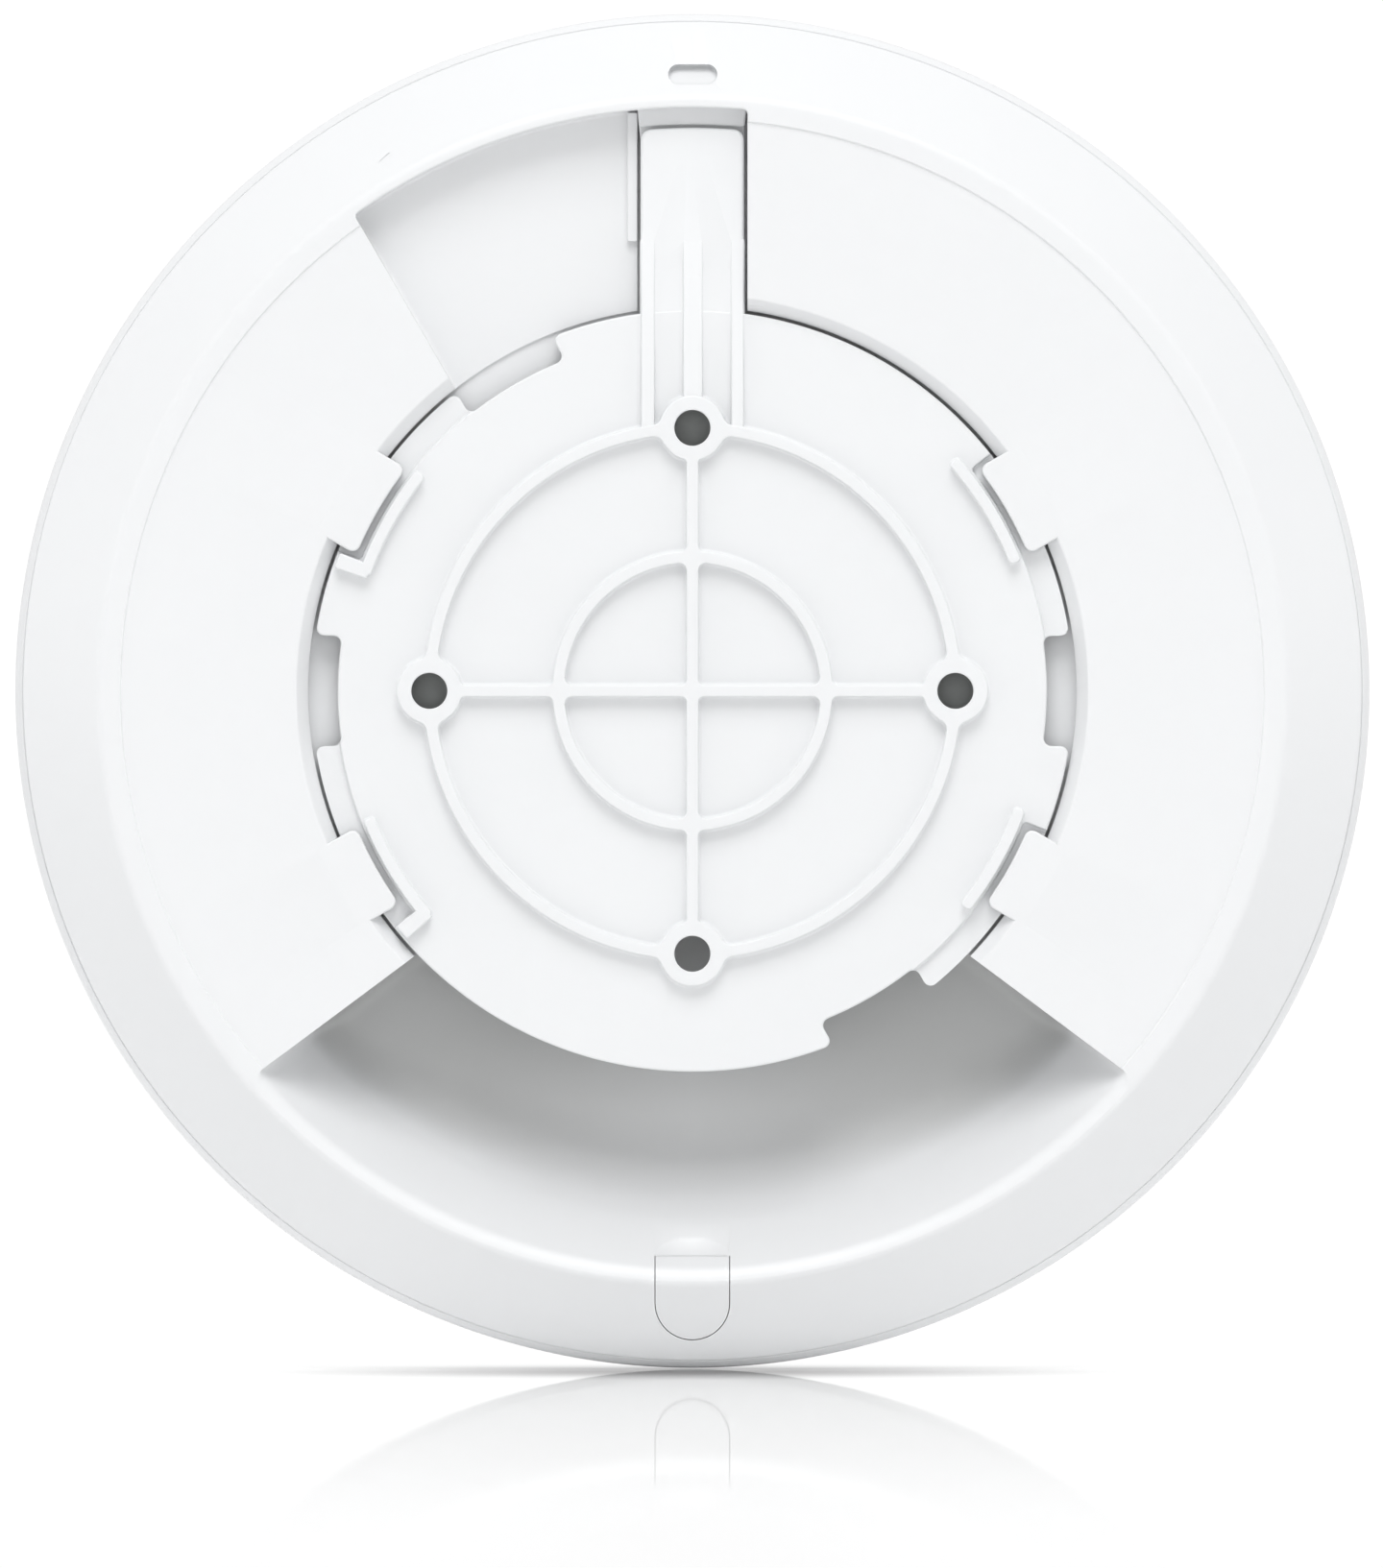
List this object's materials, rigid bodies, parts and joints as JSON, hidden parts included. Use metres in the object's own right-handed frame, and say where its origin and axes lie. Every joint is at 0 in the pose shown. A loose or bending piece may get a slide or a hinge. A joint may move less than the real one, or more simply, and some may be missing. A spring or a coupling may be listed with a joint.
{
  "type": "ceiling access point",
  "caption": "Round white ceiling network access point locked on its twist-lock ceiling bracket, with latch arm, cable recess, knock-out cable exit and electronics inside.",
  "frame": {"origin": "centre of the mounting plane, where the tops of the bracket ribs meet the ceiling or wall", "axes": "-Y out of the mounting plane towards the ceiling or wall, +Y towards the domed front, +Z towards the latch arm, -Z towards the cable exit, +X to the right seen from the mounting side. On a wall it hangs as stored, on a ceiling -Y points up."},
  "size_m": [0.16, 0.033, 0.16],
  "materials": {
    "case_white": "fine moulded satin",
    "bracket_white": "moulded satin, slightly cooler white",
    "clear_plastic": "translucent white",
    "steel_plate": "dull zinc-plated sheet",
    "aluminium": "bead-blasted",
    "circuit_board": "green solder mask",
    "chip_black": "moulded epoxy",
    "thermal_pad": "soft silicone",
    "tinned_steel": "bright tin plate",
    "black_plastic": "moulded nylon",
    "contact_gold": "gold-plated",
    "spacer_brass": "turned brass",
    "ferrite": "dark sintered ferrite",
    "led_lens": "clear lens"
  },
  "bodies": {
    "bracket": {"bracket_plate": "bracket_white"},
    "latch": {"latch_arm": "bracket_white"},
    "access_point": {"antenna_1": "tinned_steel", "antenna_2": "tinned_steel", "antenna_3": "tinned_steel", "antenna_4": "tinned_steel", "back_plate": "steel_plate", "case_screw_1": "tinned_steel", "case_screw_2": "tinned_steel", "case_screw_3": "tinned_steel", "case_screw_4": "tinned_steel", "ethernet_jack_housing": "black_plastic", "ethernet_jack_shield": "tinned_steel", "flash_chip": "chip_black", "front_cover": "case_white", "heat_spreader": "aluminium", "jack_contacts": "contact_gold", "lan_transformer": "chip_black", "light_guide": "clear_plastic", "light_ring": "clear_plastic", "main_board": "circuit_board", "memory_chip": "chip_black", "poe_transformer": "ferrite", "power_capacitor_1": "aluminium", "power_capacitor_2": "aluminium", "power_capacitor_3": "aluminium", "power_inductor": "ferrite", "processor_chip": "chip_black", "processor_thermal_pad": "thermal_pad", "radio_chip_high_band": "chip_black", "radio_chip_low_band": "chip_black", "radio_thermal_pad_high_band": "thermal_pad", "radio_thermal_pad_low_band": "thermal_pad", "rear_shell": "case_white", "reset_switch_body": "black_plastic", "shield_can_1": "tinned_steel", "shield_can_2": "tinned_steel", "spacer_1": "spacer_brass", "spacer_2": "spacer_brass", "spacer_3": "spacer_brass", "spacer_4": "spacer_brass", "status_led_1": "led_lens", "status_led_2": "led_lens", "status_led_3": "led_lens", "status_led_4": "led_lens"},
    "cable_plug": {"cable_exit_plug": "case_white"},
    "reset": {"reset_button": "black_plastic"}
  },
  "joints": [
    {"name": "twist_lock", "type": "hinge", "parent": "bracket", "child": "access_point", "pos_m": [0, 0, 0], "axis": [0, 1, 0], "range_deg": [0, 30]},
    {"name": "latch_flex", "type": "hinge", "parent": "bracket", "child": "latch", "pos_m": [0, 0.0028, 0.04445], "axis": [1, 0, 0], "range_deg": [0, 3], "stiffness_Nm_per_rad": 0.6},
    {"name": "cable_plug_slide", "type": "slide", "parent": "access_point", "child": "cable_plug", "axis": [0, -1, 0], "range_m": [0, 0.014]},
    {"name": "reset_press", "type": "slide", "parent": "access_point", "child": "reset", "axis": [0, 0, 1], "range_m": [0, 0.0005], "stiffness_N_per_m": 400}
  ]
}
